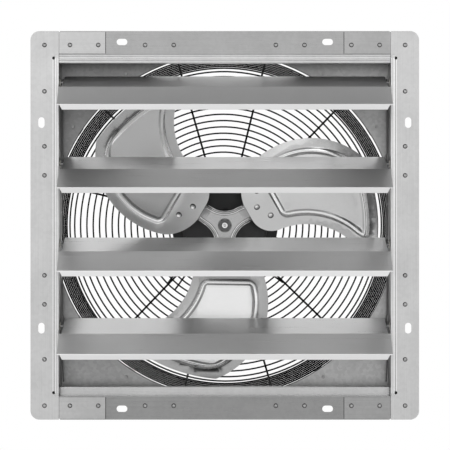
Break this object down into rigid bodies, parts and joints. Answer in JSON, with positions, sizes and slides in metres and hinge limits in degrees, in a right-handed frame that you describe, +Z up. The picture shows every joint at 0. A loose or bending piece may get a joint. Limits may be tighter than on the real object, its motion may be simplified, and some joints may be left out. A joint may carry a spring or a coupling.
{
  "type": "shutter exhaust fan",
  "caption": "Square wall exhaust fan with a flanged sheet-metal frame, gravity louvres linked by tie bars, pressed blades on a spider, and a motor in a wire guard.",
  "frame": {"origin": "centre of the flange's wall face", "axes": "+Z up, -Y out of the wall towards the shutter's open side, +Y into the wall along the fan's axis, +X to the right seen from the shutter"},
  "size_m": [0.565, 0.29, 0.565],
  "materials": {
    "frame_sheet": "satin galvanised sheet",
    "corner_sheet": "satin galvanised sheet, a shade lighter",
    "louvre_sheet": "satin rolled aluminium",
    "rivet_metal": "domed blind rivets",
    "sleeve_sheet": "galvanised sheet",
    "panel_sheet": "galvanised sheet",
    "fastener": "zinc plated",
    "bush_plastic": "natural nylon",
    "pin_steel": "zinc plated pins",
    "tie_sheet": "galvanised strip",
    "guard_wire": "black powder coat",
    "clip_metal": "black powder coat",
    "mount_plate": "black powder coat",
    "motor_paint": "black enamel",
    "shield_metal": "black enamel on cast end shields",
    "core_steel": "laminated core",
    "winding": "varnished winding ends",
    "bearing_steel": "ground steel",
    "gland_plastic": "black nylon",
    "shaft_steel": "turned steel",
    "blade_sheet": "bright rolled sheet",
    "spider_sheet": "plated pressing",
    "blade_rivet": "domed rivets",
    "hub_metal": "zinc plated"
  },
  "bodies": {
    "housing": {"side_rail_left": "frame_sheet", "side_rail_right": "frame_sheet", "top_rail": "frame_sheet", "bottom_rail": "frame_sheet", "corner_plates": "corner_sheet", "frame_rivets": "rivet_metal", "sleeve_left": "sleeve_sheet", "sleeve_right": "sleeve_sheet", "sleeve_top": "sleeve_sheet", "sleeve_bottom": "sleeve_sheet", "venturi_panel": "panel_sheet", "panel_screws": "fastener", "pivot_bushes": "bush_plastic", "guard_face_spiral": "guard_wire", "guard_side_turns": "guard_wire", "guard_ribs": "guard_wire", "guard_clips": "clip_metal", "guard_screws": "fastener", "motor_mount": "mount_plate", "mount_wires": "guard_wire", "mount_saddles": "mount_plate", "mount_bolts": "fastener", "motor_shell": "motor_paint", "motor_front_shield": "shield_metal", "motor_rear_shield": "shield_metal", "motor_tie_bolts": "fastener", "motor_stator": "core_steel", "motor_windings": "winding", "motor_bearings": "bearing_steel", "cable_gland": "gland_plastic"},
    "rotor": {"motor_shaft": "shaft_steel", "motor_rotor": "core_steel", "fan_spider": "spider_sheet", "fan_blade_a": "blade_sheet", "fan_blade_b": "blade_sheet", "fan_blade_c": "blade_sheet", "blade_rivets": "blade_rivet", "hub_washers": "hub_metal", "hub_nut": "hub_metal"},
    "louvre_body_1": {"louvre_1": "louvre_sheet", "louvre_pins_1": "pin_steel"},
    "louvre_body_2": {"louvre_2": "louvre_sheet", "louvre_pins_2": "pin_steel"},
    "louvre_body_3": {"louvre_3": "louvre_sheet", "louvre_pins_3": "pin_steel"},
    "louvre_body_4": {"louvre_4": "louvre_sheet", "louvre_pins_4": "pin_steel"},
    "tie_left": {"tie_bar_left": "tie_sheet"},
    "tie_right": {"tie_bar_right": "tie_sheet"}
  },
  "joints": [
    {"name": "fan_spin", "type": "hinge", "parent": "housing", "child": "rotor", "pos_m": [0, 0.101, 0], "axis": [0, 1, 0], "continuous": true},
    {"name": "louvre_1_swing", "type": "hinge", "parent": "housing", "child": "louvre_body_1", "pos_m": [0, 0.0188, 0.2088], "axis": [1, 0, 0], "range_deg": [0, 62]},
    {"name": "louvre_2_swing", "type": "hinge", "parent": "housing", "child": "louvre_body_2", "pos_m": [0, 0.0188, 0.0901], "axis": [1, 0, 0], "range_deg": [0, 62]},
    {"name": "louvre_3_swing", "type": "hinge", "parent": "housing", "child": "louvre_body_3", "pos_m": [0, 0.0188, -0.0286], "axis": [1, 0, 0], "range_deg": [0, 62]},
    {"name": "louvre_4_swing", "type": "hinge", "parent": "housing", "child": "louvre_body_4", "pos_m": [0, 0.0188, -0.1473], "axis": [1, 0, 0], "range_deg": [0, 62]},
    {"name": "tie_left_pivot", "type": "hinge", "parent": "louvre_body_1", "child": "tie_left", "pos_m": [-0.2382, 0.04554, 0.21256], "axis": [1, 0, 0], "range_deg": [-62, 0]},
    {"name": "tie_right_pivot", "type": "hinge", "parent": "louvre_body_1", "child": "tie_right", "pos_m": [0.2382, 0.04554, 0.21256], "axis": [1, 0, 0], "range_deg": [-62, 0]}
  ],
  "couplings": [
    {"joint": "louvre_2_swing", "follows": "louvre_1_swing", "ratio": 1},
    {"joint": "louvre_3_swing", "follows": "louvre_1_swing", "ratio": 1},
    {"joint": "louvre_4_swing", "follows": "louvre_1_swing", "ratio": 1},
    {"joint": "tie_left_pivot", "follows": "louvre_1_swing", "ratio": -1},
    {"joint": "tie_right_pivot", "follows": "louvre_1_swing", "ratio": -1}
  ]
}
